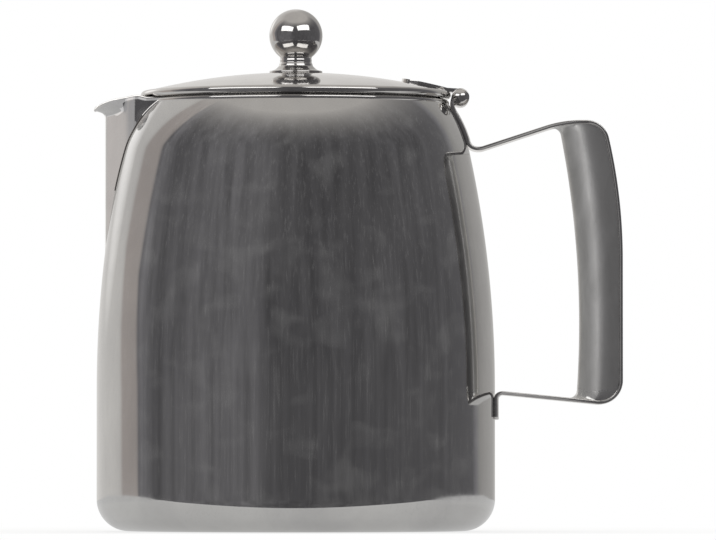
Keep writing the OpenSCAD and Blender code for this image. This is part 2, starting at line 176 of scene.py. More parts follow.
class JugHandleSizes(bpy.types.PropertyGroup):
    """Sizes of the strap, the grip and the hinge pin, in millimetres."""

    half_w: length("Half width", STRAP_HALF_W, "Half width of the strap")
    sheet: length("Sheet", 1.2, "Thickness of the strap")
    spine_x: length("Spine", 101.8, "Distance of the spine's middle line from the axis")
    top_z: length("Top", 128.1, "Height of the top of the handle")
    upper_z: length("Upper bend", 118.8, "Height where the upper arm leaves the shoulder")
    arm_rise: angle("Arm rise", 18.0, "Rise of the upper arm")
    arm_share: ratio("Arm share", 0.696, 0.3, 0.9, "Share of the upper arm's run that rises")
    lean: angle("Lean", 12.9, "Lean of the upper spine")
    lean_z: length("Lean height", 104.2, "Height where the leaning and the upright spine meet")
    lower_z: length("Lower bend", 43.4, "Height where the lower arm meets the body")
    upper_tab_bend: length("Upper tab bend", 3.5, "Bend radius from the upper tab to its arm")
    arm_bend: length("Arm bend", 36.0, "Bend radius where the upper arm levels out")
    top_bend: length("Top bend", 6.5, "Bend radius from the upper arm to the spine")
    spine_bend: length("Spine bend", 168.0, "Bend radius from the leaning to the upright spine")
    heel_bend: length("Heel bend", 6.8, "Bend radius from the spine to the lower arm")
    lower_tab_bend: length("Lower tab bend", 2.0, "Bend radius from the lower arm to its tab")
    arm_fall: angle("Arm fall", 5.7, "Fall of the lower arm towards the grip")
    tab_top: length("Upper tab", 131.5, "Height of the top of the upper tab")
    tab_end: length("Lower tab", 34.9, "Height of the end of the lower tab")
    knuckle: length("Knuckle", 2.8, "Outside radius of the knuckles")
    knuckle_from: length("Knuckle gap", 4.5, "Half width of the gap between the fixed knuckles")
    pin_r: length("Pin", 1.55, "Radius of the hinge pin")
    head_r: length("Pin head", 2.5, "Radius of the pin's domed heads")
    head_h: length("Pin head height", 1.5, "Height of the pin's domed heads")
    grip_half_w: length("Grip half width", 7.2, "Half width of the hollow grip")
    grip_round: ratio("Grip rounding", 2.3, 2.0, 5.0, "2 gives an ellipse, more gives flatter sides")
    grip_depth: length("Grip depth", 12.3, "Depth of the grip in front of the spine")
    grip_waist: length("Grip waist", 65.0, "Height where the grip is slimmest")
    grip_sweep: length("Grip sweep", 310.0, "Radius of the grip's front along its length")
    grip_sheet: length("Grip sheet", 1.0, "Thickness of the grip's sheet")
    grip_flare: length("Grip flare", 2.6, "Radius of the flare where the grip meets the arms")


class JugFinishes(bpy.types.PropertyGroup):
    """Colours of the steel finishes and of the stage."""

    mirror: colour("Mirror polish", "#CFCECC", "Mirror-polished stainless sheet")
    mirror_haze: colour("Wiped haze", "#C0BFBE", "The same sheet where it is hazed by wiping")
    bright: colour("Bright fittings", "#D6D4D1", "Buffed lid, knob, strap and hinge")
    bright_haze: colour("Bright haze", "#C9C7C5", "The same fittings where the buffing is duller")
    satin: colour("Satin grip", "#C6C5C3", "Satin stainless grip")
    satin_dimple: colour("Satin dimples", "#B3B2B0", "The same grip where the dimples are dense")
    plain: colour("Plain sheet", "#B4B2AE", "Unpolished sheet inside the jug")
    plain_grain: colour("Plain grain", "#A09E9A", "Grain of the unpolished sheet")
    weld: colour("Weld", "#8F8C88", "Weld along the spout")
    weld_tint: colour("Weld tint", "#A29C96", "The same weld where its heat has tinted it")
    floor: colour("Floor", "#F2F1EE", "Pale floor of the stage")


class JugStage(bpy.types.PropertyGroup):
    """Place and picture of the camera."""

    distance: metres("Camera distance", 2.5, "Distance of the camera in front of the jug")
    height: metres("Camera height", 0.022, "Height of the camera above the floor")
    width: metres("Picture width", 0.2248, "Width of the picture at the jug")
    aim: bpy.props.FloatVectorProperty(
        name="Aim", description="Point in the middle of the picture", default=(0.0195, 0.0, 0.0819),
        subtype="XYZ", unit="LENGTH",
    )


SIZE_GROUPS = {
    "jug_body": JugBodySizes,
    "jug_lid": JugLidSizes,
    "jug_handle": JugHandleSizes,
    "jug_finishes": JugFinishes,
    "jug_stage": JugStage,
}


# Nodes and materials


def add(tree, kind, inputs=(), **settings):
    """Adds a node with its settings. An input takes a value or a link, which comes from a socket
    or from the first output that a node has in use."""
    made = tree.nodes.new(kind)
    for name, value in settings.items():
        setattr(made, name, value)
    pairs = inputs.items() if isinstance(inputs, dict) else enumerate(inputs)
    for key, value in pairs:
        if isinstance(value, bpy.types.Node):
            value = next(output for output in value.outputs if output.enabled)
        if isinstance(value, bpy.types.NodeSocket):
            tree.links.new(value, made.inputs[key])
        else:
            made.inputs[key].default_value = value
    return made


def blank(name):
    """A material with an empty node tree."""
    made = bpy.data.materials.new(name)
    made.use_nodes = True
    made.node_tree.nodes.clear()
    return made


def grain(tree, pitch, detail, distortion=0.0):
    """Noise whose cells measure about pitch, in millimetres along X, Y and Z."""
    place = add(tree, "ShaderNodeTexCoord").outputs["Object"]
    scale = [1 / (p * MM) for p in pitch]
    fitted = add(tree, "ShaderNodeMapping", {"Vector": place, "Scale": scale})
    return add(
        tree, "ShaderNodeTexNoise",
        {"Vector": fitted, "Scale": 1.0, "Detail": detail, "Roughness": 0.55,
         "Distortion": distortion},
    )


def steel(name, base, haze, broad, fine, rough, relief, marks=0.0, dressed=None):
    """Stainless steel: haze in colour and gloss, fine lines in the relief and a film of dried
    water. Below the dressed height it is smoother."""
    drop_pitch, hair_pitch = (11, 11, 9), (0.5, 0.5, 11)
    line_depth, dressed_fade, dressed_rough = 0.02, 3.5, 0.4
    made = blank(name)
    tree = made.node_tree
    cloud = grain(tree, broad, 4.0, 0.6)
    lines = grain(tree, fine, 2.0)
    hazed = add(tree, "ShaderNodeMapRange", (cloud, 0.35, 0.7, 0.0, 1.0))
    colours = {"Factor": hazed, "A": (*base, 1), "B": (*haze, 1)}
    tint = add(tree, "ShaderNodeMix", colours, data_type="RGBA")
    both = add(tree, "ShaderNodeMath", (cloud, lines), operation="MULTIPLY")
    gloss = add(tree, "ShaderNodeMapRange", (both, 0.15, 0.42, *rough))
    if dressed:
        place = add(tree, "ShaderNodeTexCoord").outputs["Object"]
        high = add(tree, "ShaderNodeSeparateXYZ", (place,)).outputs["Z"]
        band = ((dressed - dressed_fade) * MM, dressed * MM)
        plain = add(tree, "ShaderNodeMapRange", (high, *band, dressed_rough, 1.0))
        gloss = add(tree, "ShaderNodeMath", (gloss, plain), operation="MULTIPLY")
    bare = 1.0
    if marks:
        drops = grain(tree, drop_pitch, 1.5, 0.4)
        hairs = grain(tree, hair_pitch, 1.0)
        drops = add(tree, "ShaderNodeMapRange", (drops, 0.50, 0.72, 0.0, marks))
        hairs = add(tree, "ShaderNodeMapRange", (hairs, 0.56, 0.76, 0.0, marks))
        film = add(tree, "ShaderNodeMath", (drops, hairs), operation="ADD")
        bare = add(tree, "ShaderNodeMath", (1.0, film), operation="SUBTRACT")
    bump = add(
        tree, "ShaderNodeBump",
        {"Height": lines, "Strength": relief, "Distance": line_depth * MM},
    )
    shade = add(
        tree, "ShaderNodeBsdfPrincipled",
        {"Base Color": tint, "Roughness": gloss, "Metallic": bare, "Normal": bump},
    )
    add(tree, "ShaderNodeOutputMaterial", {"Surface": shade})
    return made


def finish(key):
    """The jug's finishes, each made once."""
    c = bpy.context.scene.jug_finishes
    finishes = {
        # Sheet of 18/8 stainless, drawn and buffed to a mirror, then wiped up and down by hand:
        # sharp dark and light bands, a slight upright smear, dried drops about 9 mm wide and
        # upright hair lines. The hair lines are about 0.1 mm wide and are drawn at 0.5 mm, to show.
        "mirror": dict(
            name="mirror-polished stainless sheet", base=c.mirror, haze=c.mirror_haze,
            broad=(30, 30, 45), fine=(0.9, 0.9, 60), rough=(0.03, 0.075), relief=0.03, marks=0.10,
        ),
        # The same steel on small fittings, buffed on a wheel: small crisp highlights.
        "bright": dict(
            name="buffed stainless fittings", base=c.bright, haze=c.bright_haze,
            broad=(9, 9, 9), fine=(0.6, 3, 0.6), rough=(0.05, 0.12), relief=0.04,
        ),
        # Stainless blasted with glass beads: a broad soft highlight with fine sparkle, no images,
        # and a brighter lower end, where the weld to the strap was dressed.
        # The real dimples are about 0.1 mm wide and are drawn at 0.5 mm, so that they show.
        "satin": dict(
            name="bead-blasted stainless grip", base=c.satin, haze=c.satin_dimple,
            broad=(6, 6, 14), fine=(0.5, 0.5, 0.5), rough=(0.28, 0.34), relief=0.30, dressed=44.5,
        ),
        # Weld along the spout, ground by hand and a little darkened by its heat: a dull thin line.
        "weld": dict(
            name="ground stainless weld", base=c.weld, haze=c.weld_tint,
            broad=(2, 2, 5), fine=(0.4, 0.4, 0.4), rough=(0.3, 0.45), relief=0.3,
        ),
        # Rolled sheet as it comes from the mill: an even grey sheen inside the jug.
        "plain": dict(
            name="mill-finished stainless sheet", base=c.plain, haze=c.plain_grain,
            broad=(12, 12, 12), fine=(0.5, 0.5, 4), rough=(0.22, 0.34), relief=0.10,
        ),
    }
    values = finishes[key]
    return bpy.data.materials.get(values["name"]) or steel(**values)


def pale_floor():
    """Matt white board: for the eye nearly as white as the backdrop, and it keeps a soft shadow."""
    shadow, front_fade, in_steel = (0.07, 0.22), (FLOOR_FRONT, -0.062), 0.66
    made = blank("matt white board")
    tree = made.node_tree
    white = bpy.context.scene.jug_finishes.floor
    speck = add(tree, "ShaderNodeMapRange", (grain(tree, (3, 3, 3), 2.0), 0.3, 0.7, 0.0, 1.0))
    colours = {"Factor": speck, "A": (*white, 1), "B": (*(0.97 * c for c in white), 1)}
    tint = add(tree, "ShaderNodeMix", colours, data_type="RGBA")
    matt = add(tree, "ShaderNodeBsdfDiffuse", {"Color": tint})
    # The shadow fades out into the backdrop's white away from the jug and at the front edge.
    place = add(tree, "ShaderNodeTexCoord").outputs["Object"]
    far = add(tree, "ShaderNodeVectorMath", (place,), operation="LENGTH")
    fade = add(tree, "ShaderNodeMapRange", (far, *shadow, 0.8, 1.0))
    along = add(tree, "ShaderNodeSeparateXYZ", (place,)).outputs["Y"]
    ends = add(tree, "ShaderNodeMapRange", (along, *front_fade, 1.0, 0.0))
    fade = add(tree, "ShaderNodeMath", (fade, ends), operation="MAXIMUM")
    path = add(tree, "ShaderNodeLightPath").outputs
    direct = (path["Is Camera Ray"], path["Is Transmission Ray"])
    seen = add(tree, "ShaderNodeMath", direct, operation="MAXIMUM")
    seen = add(tree, "ShaderNodeMath", (path["Is Glossy Ray"], seen), operation="MAXIMUM")
    # In the steel the board shows as white in soft light, a little below the backdrop's white.
    level = add(tree, "ShaderNodeMapRange", (path["Is Glossy Ray"], 0.0, 1.0, 1.0, in_steel))
    glow = add(tree, "ShaderNodeEmission", {"Color": (1, 1, 1, 1), "Strength": level})
    share = add(tree, "ShaderNodeMath", (fade, seen), operation="MULTIPLY")
    board = add(tree, "ShaderNodeMixShader", (share, matt, glow))
    add(tree, "ShaderNodeOutputMaterial", {"Surface": board})
    return made


# Mesh tools


def new_tree(name, **inputs):
    """An empty Geometry Nodes tree and the sockets of its named inputs."""
    tree = bpy.data.node_groups.new(name, "GeometryNodeTree")
    for label, kind in {**inputs, "Finish": "Material"}.items():
        tree.interface.new_socket(label, in_out="INPUT", socket_type="NodeSocket" + kind)
    tree.interface.new_socket("Piece", in_out="OUTPUT", socket_type="NodeSocketGeometry")
    return tree, add(tree, "NodeGroupInput").outputs


def end_tree(tree, shape, given):
    """Ends a tree with smooth shading, real geometry and the finish."""
    smooth = add(tree, "GeometryNodeSetShadeSmooth", {"Geometry": shape})
    real = add(tree, "GeometryNodeRealizeInstances", {"Geometry": smooth})
    paint = {"Geometry": real, "Material": given["Finish"]}
    add(tree, "NodeGroupOutput", {"Piece": add(tree, "GeometryNodeSetMaterial", paint)})
    return tree


def lathe_tree():
    """Sweeps a row of points round the upright axis. Each point carries its own two end angles."""
    tree, given = new_tree("Lathe", Profile="Geometry", Steps="Int")
    profile, steps = given["Profile"], given["Steps"]
    count = add(tree, "GeometryNodeAttributeDomainSize", {"Geometry": profile})
    size = {"Vertices X": count.outputs["Point Count"], "Vertices Y": steps}
    grid = add(tree, "GeometryNodeMeshGrid", size)
    index = add(tree, "GeometryNodeInputIndex")
    row = add(tree, "ShaderNodeMath", (index, steps), operation="DIVIDE")
    row = add(tree, "ShaderNodeMath", (row,), operation="FLOOR")
    before = add(tree, "ShaderNodeMath", (row, steps), operation="MULTIPLY")
    column = add(tree, "ShaderNodeMath", (index, before), operation="SUBTRACT")
    last = add(tree, "ShaderNodeMath", (steps, 1.0), operation="SUBTRACT")
    share = add(tree, "ShaderNodeMath", (column, last), operation="DIVIDE")
    start, end, point = (
        add(
            tree, "GeometryNodeSampleIndex", {"Geometry": profile, "Value": value, "Index": row},
            data_type=kind, domain="POINT",
        )
        for value, kind in (
            (add(tree, "GeometryNodeInputNamedAttribute", {"Name": "start"}), "FLOAT"),
            (add(tree, "GeometryNodeInputNamedAttribute", {"Name": "end"}), "FLOAT"),
            (add(tree, "GeometryNodeInputPosition"), "FLOAT_VECTOR"),
        )
    )
    span = add(tree, "ShaderNodeMath", (end, start), operation="SUBTRACT")
    turn = add(tree, "ShaderNodeMath", (span, share), operation="MULTIPLY")
    turn = add(tree, "ShaderNodeMath", (start, turn), operation="ADD")
    point = add(tree, "ShaderNodeSeparateXYZ", (point,)).outputs
    out = add(tree, "ShaderNodeMath", (point["X"], -1.0), operation="MULTIPLY")
    sides = []
    for kind in ("COSINE", "SINE"):
        part = add(tree, "ShaderNodeMath", (turn,), operation=kind)
        sides.append(add(tree, "ShaderNodeMath", (out, part), operation="MULTIPLY"))
    place = add(tree, "ShaderNodeCombineXYZ", (*sides, point["Z"]))
    swept = add(tree, "GeometryNodeSetPosition", {"Geometry": grid, "Position": place})
    closing = {"Geometry": swept, "Distance": SEAM * MM}
    return end_tree(tree, add(tree, "GeometryNodeMergeByDistance", closing), given)


def bead_tree():
    """Runs a round bead along a line of points."""
    tree, given = new_tree("Bead", Line="Geometry", Radius="Float")
    line = add(tree, "GeometryNodeMeshToCurve", {"Mesh": given["Line"]})
    ring = {"Resolution": 10, "Radius": given["Radius"]}
    ring = add(tree, "GeometryNodeCurvePrimitiveCircle", ring)
    tube = {"Curve": line, "Profile Curve": ring, "Fill Caps": True}
    return end_tree(tree, add(tree, "GeometryNodeCurveToMesh", tube), given)


def grown(obj, tree, **values):
    """Puts a node tree on an object, sets its inputs and keeps what it makes as a plain mesh."""
    modifier = obj.modifiers.new(tree.name, "NODES")
    modifier.node_group = tree
    sockets = {s.name: s.identifier for s in tree.interface.items_tree}
    for name, value in values.items():
        modifier[sockets[name]] = value
    return bake(obj)


def run_along(name, lines, radius, key):
    """Round beads along lines of points in millimetres."""
    mesh = bpy.data.meshes.new(name)
    points, edges = [], []
    for line in lines:
        edges += [(i, i + 1) for i in range(len(points), len(points) + len(line) - 1)]
        points += [Vector(p) * MM for p in line]
    mesh.from_pydata(points, edges, [])
    tree = bpy.data.node_groups.get("Bead") or bead_tree()
    obj = grown(put(name, mesh), tree, Radius=radius * MM, Finish=finish(key))
    edit(obj, close_up)
    return obj


def bake(obj):
    """Turns what the modifiers make into the object's own plain mesh."""
    graph = bpy.context.evaluated_depsgraph_get()
    made = bpy.data.meshes.new_from_object(obj.evaluated_get(graph))
    old = obj.data
    obj.modifiers.clear()
    obj.data = made
    made.name = obj.name
    bpy.data.meshes.remove(old)
    return obj


def put(name, data):
    """A new object at the origin."""
    obj = bpy.data.objects.new(name, data)
    bpy.context.scene.collection.objects.link(obj)
    return obj


def turned(name, profile, steps, key, ends=None):
    """Sweeps (radius, height) points, in millimetres, round the jug's axis."""
    mesh = bpy.data.meshes.new(name)
    edges = [(i, i + 1) for i in range(len(profile) - 1)]
    mesh.from_pydata([(r * MM, 0, z * MM) for r, z in profile], edges, [])
    ends = ends or [(0.0, 2 * math.pi)] * len(profile)
    for i, kind in enumerate(("start", "end")):
        mesh.attributes.new(kind, "FLOAT", "POINT").data.foreach_set("value", [e[i] for e in ends])
    tree = bpy.data.node_groups.get("Lathe") or lathe_tree()
    return grown(put(name, mesh), tree, Steps=steps + 1, Finish=finish(key))


def edit(obj, work):
    """Runs one function on the object's mesh."""
    mesh = bmesh.new()
    mesh.from_mesh(obj.data)
    work(mesh)
    mesh.to_mesh(obj.data)
    mesh.free()
    obj.data.update()


def close_up(mesh):
    """Merges doubles, fills open ends and turns the faces outwards."""
    bmesh.ops.remove_doubles(mesh, verts=mesh.verts, dist=SEAM * MM)
    bmesh.ops.dissolve_degenerate(mesh, edges=mesh.edges, dist=SEAM / 2 * MM)
    bmesh.ops.holes_fill(mesh, edges=[e for e in mesh.edges if e.is_boundary], sides=0)
    bmesh.ops.recalc_face_normals(mesh, faces=mesh.faces)


def face_away(mesh, middle):
    """Merges doubles and turns an open sheet's faces away from a point inside it."""
    bmesh.ops.remove_doubles(mesh, verts=mesh.verts, dist=2 * SEAM * MM)
    bmesh.ops.recalc_face_normals(mesh, faces=mesh.faces)
    middle = Vector(middle) * MM
    out = sum(f.calc_area() * f.normal.dot(f.calc_center_median() - middle) for f in mesh.faces)
    if out < 0:
        bmesh.ops.reverse_faces(mesh, faces=mesh.faces)


def joined(first, *others):
    """Adds the other objects' meshes to the first one's."""
    def work(mesh):
        for other in others:
            mesh.from_mesh(other.data)
    edit(first, work)
    for other in others:
        bpy.data.objects.remove(other)


def sheet(name, rows, key):
    """Surface through rows of points in millimetres. None leaves a hole."""
    mesh = bpy.data.meshes.new(name)
    spots, points, faces = {}, [], []
    for i, row in enumerate(rows):
        for j, p in enumerate(row):
            if p is not None:
                spots[i, j] = len(points)
                points.append(Vector(p) * MM)
    for i in range(len(rows) - 1):
        for j in range(len(rows[i]) - 1):
            corners = [spots.get(c) for c in ((i, j), (i, j + 1), (i + 1, j + 1), (i + 1, j))]
            if None not in corners:
                faces.append(corners)
    mesh.from_pydata(points, [], faces)
    mesh.materials.append(finish(key))
    mesh.shade_smooth()
    return put(name, mesh)


def sharpen(obj, degrees):
    """Keeps the edges sharp whose faces meet at more than an angle."""
    obj.data.set_sharp_from_angle(angle=math.radians(degrees))


def thicken(obj, thickness, offset=0, edge=0.0, inside=None, even=True):
    """Gives a surface its thickness and rounds its edges, all in millimetres."""
    if inside:
        obj.data.materials.append(finish(inside))
    wall = obj.modifiers.new("Sheet", "SOLIDIFY")
    wall.thickness = thickness * MM
    wall.offset = offset
    wall.use_even_offset = even
    wall.use_quality_normals = True
    wall.material_offset = 1 if inside else 0
    if edge:
        bevel = obj.modifiers.new("Edge", "BEVEL")
        bevel.width = edge * MM
        bevel.segments = 3
        bevel.limit_method = "ANGLE"
        bevel.angle_limit = math.radians(50)
        bevel.harden_normals = False
    bake(obj)
    sharpen(obj, 38)


def solid(name, profile, steps, key, ends=None, sharp=None):
    """A closed turned piece. Edges where its faces meet at more than an angle can stay sharp."""
    obj = turned(name, profile, steps, key, ends)
    edit(obj, close_up)
    if sharp:
        sharpen(obj, sharp)
    return obj


def pressed(name, rows, key, middle, thickness, **how):
    """A sheet of metal through rows of points, which faces away from a point inside it."""
    obj = sheet(name, rows, key)
    edit(obj, lambda mesh: face_away(mesh, middle))
    thicken(obj, thickness, **how)
    return obj


def hand_over(obj, body, slot, *nodes):
    """Puts a finished piece in the place of the solids that it stands for."""
    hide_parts(*nodes)
    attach(obj, body)


# Lines of the jug


def direction(turn):
    """Unit vector at a turn from the first axis."""
    return Vector((math.cos(turn), math.sin(turn)))


def arc(centre, radius, start, end, steps):
    """Points of an arc, both ends included."""
    return [
        Vector(centre) + radius * direction(start + (end - start) * i / steps)
        for i in range(steps + 1)
    ]


def mixed(a, b, share):
    """What lies between a and b at a share of the way."""
    return a + (b - a) * share


def spaced(low, high, count):
    """Even steps from low to high, both included."""
    return [mixed(low, high, i / count) for i in range(count + 1)]


def neighbours(points):
    """Each point with the ones before and after it."""
    return zip(points[:1] + points, points, points[1:] + points[-1:])


def eased(value, low, high):
    """0 below the range, 1 above it, and a smooth rise between."""
    t = max(0.0, min(1.0, (value - low) / (high - low)))
    return t * t * (3 - 2 * t)


class BellLine:
    """Outside line of the bell: corner, straight wall, belly and shoulder without a kink."""

    # Radii of the rows of points across the base, and the steps of the stretches above it.
    BASE_ROWS = (0, 14, 28, 42, 50, 52)
    CORNER, STRAIGHT, BELLY, SHOULDER = 22, 10, 42, 26
    # A row this near to a height that is kept gives way to it.
    ROOM = 0.3

    def __init__(self, s):
        self.s = s
        self.bead_z = s.mouth_z - s.bead
        self.belly_c = Vector((s.radius - s.belly, s.straight))
        self.belly_end = self.belly_c + s.belly * direction(s.belly_turn)
        self.shoulder_c = self.belly_end - s.shoulder * direction(s.belly_turn)
        self.mouth_turn = math.asin((self.bead_z - self.shoulder_c.y) / s.shoulder)

    def radius(self, z):
        """Outside radius at a height."""
        s = self.s
        if z < s.corner:
            return s.radius - s.corner + math.sqrt(max(0, s.corner**2 - (s.corner - z) ** 2))
        if z < s.straight:
            return s.radius
        if z < self.belly_end.y:
            return self.belly_c.x + math.sqrt(s.belly**2 - (z - self.belly_c.y) ** 2)
        return self.shoulder_c.x + math.sqrt(s.shoulder**2 - (z - self.shoulder_c.y) ** 2)

    def profile(self, keep=()):
        """Points from the middle of the base to the mouth, with rows at the given heights."""
        s = self.s
        corner = arc((s.radius - s.corner, s.corner), s.corner, -math.pi / 2, 0, self.CORNER)
        flat = [Vector((r, 0)) for r in self.BASE_ROWS]
        heights = spaced(s.corner, s.straight, self.STRAIGHT)[1:]
        heights += spaced(s.straight, self.belly_end.y, self.BELLY)[1:]
        heights += [
            self.shoulder_c.y + s.shoulder * math.sin(t)
            for t in spaced(s.belly_turn, self.mouth_turn, self.SHOULDER)[1:]
        ]
        heights = [z for z in heights if all(abs(z - k) > self.ROOM for k in keep)]
        return flat + corner + [Vector((self.radius(z), z)) for z in sorted([*heights, *keep])]


class SpoutLine:
    """Level sections of the spout: a wedge with a rounded fold that bends out into the beak."""

    # Distances from the axis between which the lip swells up, and goes down again.
    LIP_UP, LIP_DOWN = (46.2, 49.2), (50.0, 55.0)
    FOLD, WALL, CREASE = 24, 30, 8
    # Length of the straight run from the crease into the bell, and the spacing of its points.
    RUN, RUN_STEP = 18, 0.4

    def __init__(self, s, bell, inside=0.0):
        self.s, self.bell, self.t = s, bell, inside
        way = Vector((s.keel - s.keel_r - s.root_x, s.root_w))
        lean = math.atan2(way.y, way.x) - math.asin(s.keel_r / way.length)
        self.root = Vector((s.root_x - inside * math.sin(lean), s.root_w - inside * math.cos(lean)))
        self.bend_c = Vector((s.keel + s.beak_r, s.beak_z))
        self.bend_r = s.beak_r + inside
        self.bend_end = self.bend_c + self.bend_r * direction(math.pi / 2 + s.beak_rise)

    def fold(self, z):
        """Distance of the fold from the axis at a height."""
        s = self.s
        if z <= s.beak_z:
            return s.keel - self.t
        if z <= self.bend_end.y:
            return self.bend_c.x - math.sqrt(self.bend_r**2 - (z - s.beak_z) ** 2)
        return self.bend_end.x + (z - self.bend_end.y) / math.tan(s.beak_rise)

    def half(self):
        """Fine points of half the section: the fold, the wall, its crease and on to the bell."""
        s = self.s
        r = s.keel_r - self.t
        nose = Vector((s.keel - self.t - r, 0))

        def leave(spot):
            """Turn of the fold's arc at which a straight wall leaves it for a spot."""
            way = spot - nose
            return math.pi / 2 - math.atan2(way.y, -way.x) + math.asin(r / way.length)

        flat = nose + r * direction(leave(self.root))
        share = (s.crease_x - flat.x) / (self.root.x - flat.x)
        crease = mixed(flat, self.root, share) + Vector((0, s.crease_out))
        curve = arc(nose, r, 0, leave(crease), self.FOLD)
        beyond = crease + (self.root - crease).normalized() * self.RUN
        bend = rounded(curve[-1], crease, beyond, s.crease_r, self.CREASE)
        along = (crease - curve[-1]).normalized()
        swell = Vector((along.y, -along.x)) * s.swell
        wall = [
            mixed(curve[-1], bend[0], share) + swell * math.sin(math.pi * share)
            for share in spaced(0, 1, self.WALL)[1:-1]
        ]
        return curve + wall + dense([*bend, beyond], self.RUN_STEP)

    def seam(self, z, sink):
        """Half section from the fold to where it meets the bell, as points and their lengths."""
        limit = self.bell.radius(min(z, self.bell.bead_z)) - sink
        points, lengths = [], []
        for p in self.half():
            if points:
                step = (p - points[-1]).length
                if p.length < limit:
                    share = (points[-1].length - limit) / max(points[-1].length - p.length, LEAST)
                    p = mixed(points[-1], p, max(0.0, min(1.0, share)))
                    points.append(p)
                    lengths.append(lengths[-1] + step * share)
                    break
                lengths.append(lengths[-1] + step)
            else:
                lengths.append(0.0)
            points.append(p)
        return points, lengths

    def spot(self, z, share, sink):
        """Point of the section at a share of its length from the fold to the bell."""
        points, lengths = self.seam(z, sink)
        want = share * lengths[-1]
        for i in range(1, len(points)):
            if lengths[i] >= want:
                step = lengths[i] - lengths[i - 1]
                part = (want - lengths[i - 1]) / step if step > LEAST else 0.0
                p = mixed(points[i - 1], points[i], part)
                break
        push = 1 - eased(want, 0.0, self.s.beak_w)
        return Vector((p.x + push * (self.fold(z) - self.s.keel + self.t), p.y)), push

    def lip(self, x):
        """Height of the pouring lip at a distance from the axis along the spout."""
        s = self.s
        fall = max(0.0, x - s.lip_x)
        swell = s.lip_swell * eased(x, *self.LIP_UP) * (1 - eased(x, *self.LIP_DOWN))
        return s.mouth_z + swell - s.lip_fall + math.sqrt(max(0.0, s.lip_fall**2 - fall**2))

    def top(self, share, sink):
        """Height of the lip at a share of the section's length."""
        z = self.s.mouth_z
        for _ in range(60):
            z = mixed(z, self.lip(self.spot(z, share, sink)[0].x), 0.5)
        return z

    def opening(self, z):
        """Half angle, seen from the axis, of the way through the bell at a height."""
        points, _ = self.seam(z, 0.0)
        return math.atan2(points[-1].y, points[-1].x)


def rounded(a, b, c, radius, steps):
    """Arc that rounds the corner b between a and c."""
    u, v = (a - b).normalized(), (c - b).normalized()
    half = math.acos(max(-1, min(1, u.dot(v)))) / 2
    centre = b + (u + v).normalized() * radius / math.sin(half)
    start = b + u * radius / math.tan(half) - centre
    end = b + v * radius / math.tan(half) - centre
    from_turn = math.atan2(start.y, start.x)
    turn = math.atan2(end.y, end.x) - from_turn
    turn = (turn + math.pi) % (2 * math.pi) - math.pi
    return arc(centre, radius, from_turn, from_turn + turn, steps)


def strap_line(s, bell):
    """Middle line of the strap from the shoulder to the lower tab, seen from the side."""
    t = s.sheet / 2
    upper_run, lower_run = 5.0, 3.2
    upper = Vector((bell.radius(s.upper_z) + t, s.upper_z))
    lean = Vector((s.spine_x, s.lean_z))
    top = Vector((s.spine_x - (s.top_z - s.lean_z) * math.tan(s.lean), s.top_z))
    run = s.arm_share * (top.x - upper.x)
    arm = upper + Vector((run, run * math.tan(s.arm_rise)))
    lower = Vector((bell.s.radius + t, s.lower_z))
    bottom = Vector((s.spine_x, s.lower_z - (s.spine_x - lower.x) * math.tan(s.arm_fall)))
    above = s.upper_z + upper_run
    start = Vector((bell.radius(above) + t, above))
    end = Vector((lower.x, s.lower_z - lower_run))
    bends = (
        (start, upper, arm, s.upper_tab_bend, 12),
        (upper, arm, top, s.arm_bend, 16),
        (arm, top, lean, s.top_bend, 18),
        (top, lean, bottom, s.spine_bend, 24),
        (lean, bottom, lower, s.heel_bend, 18),
        (bottom, lower, end, s.lower_tab_bend, 12),
    )
    return [rounded(*bend) for bend in bends]


def dense(points, step):
    """The same line with points no further apart than a step."""
    made = [points[0]]
    for p in points[1:]:
        parts = max(1, math.ceil((p - made[-1]).length / step))
        start = made[-1]
        made += [mixed(start, p, i / parts) for i in range(1, parts + 1)]
    return made


def height_on(line, x):
    """Height of a line, seen from the side, at a distance from the axis."""
    for p, q in zip(line, line[1:]):
        if min(p.x, q.x) - TINY <= x <= max(p.x, q.x) + TINY and abs(p.x - q.x) > LEAST:
            return mixed(p.y, q.y, (x - p.x) / (q.x - p.x))
    return line[-1].y


# Pieces


class JUG_OT_body(bpy.types.Operator):
    """Bell with a flat base, an opening behind the spout and a bead round the mouth."""

    bl_idname = "jug.body"
    bl_label = "Body"

    def execute(self, context):
        s = context.scene.jug_body
        bell = BellLine(s)
        way = SpoutLine(s, bell, s.wall)
        low = s.mouth_z - s.opening
        profile = bell.profile(keep=(low,))
        gap = [way.opening(max(low, p.y)) for p in profile]
        ends = [(g, 2 * math.pi - g) for g in gap]
        obj = turned("polished_body", profile, ROUND, "mirror", ends)
        under = [p for p in profile if p.y <= low + TINY]
        patch = turned("body_patch", under, 24, "mirror", [(-gap[0], gap[0])] * len(under))
        joined(obj, patch)
        edit(obj, lambda mesh: face_away(mesh, (0, 0, s.straight)))
        thicken(obj, s.wall, offset=-1, inside="plain")
        ring = arc((s.mouth_r - s.wall / 2, bell.bead_z), s.bead, 0, 2 * math.pi, 24)
        bead = solid("mouth_bead", ring, ROUND, "bright", ends[-1:] * len(ring))
        hand_over(obj, "jug", "polished_steel", "body")
        hand_over(bead, "jug", "polished_steel", "body")
        return {"FINISHED"}


